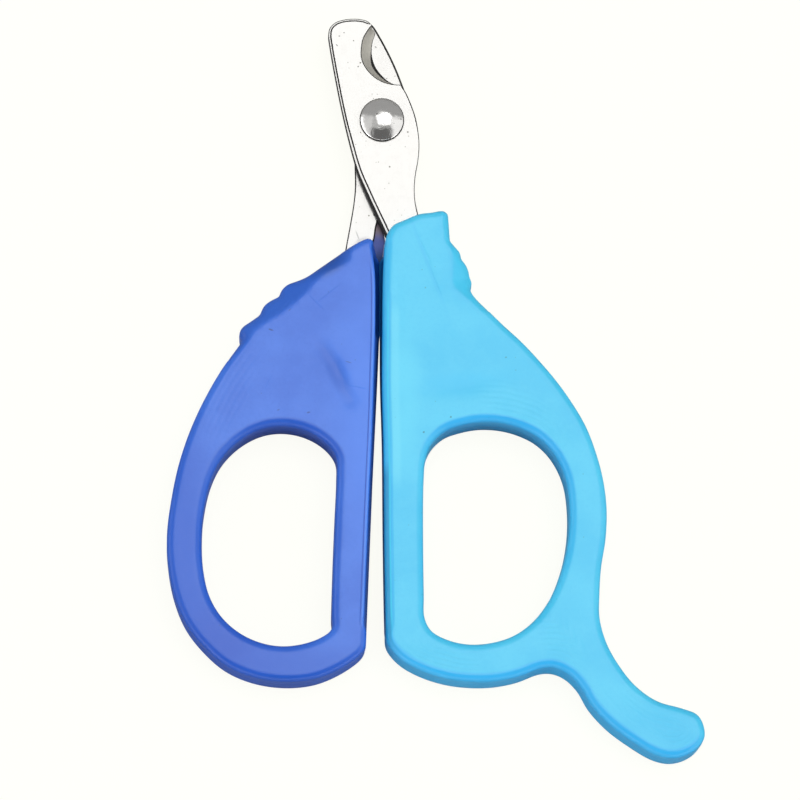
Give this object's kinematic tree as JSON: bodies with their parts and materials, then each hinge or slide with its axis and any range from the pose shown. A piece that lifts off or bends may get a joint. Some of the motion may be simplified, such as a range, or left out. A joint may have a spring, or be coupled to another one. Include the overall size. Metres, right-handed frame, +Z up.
{
  "type": "scissor nail clipper",
  "caption": "Scissor-style pet nail clipper: notched steel blades turn on a domed rivet, set in moulded plastic finger-loop handles, one ending in a curved finger rest.",
  "frame": {"origin": "centre of the footprint, on the surface the clipper lies on", "axes": "+Y towards the blade tips, +Z up through the thickness with the rivet head on top, +X towards the light blue handle"},
  "size_m": [0.0887, 0.1264, 0.008],
  "materials": {
    "blade_steel": "fine brushed, nearly polished",
    "rivet_steel": "polished dome",
    "washer_steel": "satin",
    "dark_blue_plastic": "semi-gloss moulded, royal blue",
    "light_blue_plastic": "semi-gloss moulded, sky blue"
  },
  "bodies": {
    "dark_half": {"dark_blue_handle": "dark_blue_plastic", "rear_blade": "blade_steel", "pivot_rivet": "rivet_steel", "rivet_back_washer": "washer_steel"},
    "light_half": {"light_blue_handle": "light_blue_plastic", "front_blade": "blade_steel"}
  },
  "joints": [
    {"name": "scissor_pivot", "type": "hinge", "parent": "dark_half", "child": "light_half", "pos_m": [-0.00883, 0.04502, 0.004], "axis": [0, 0, 1], "range_deg": [0, 70]}
  ]
}
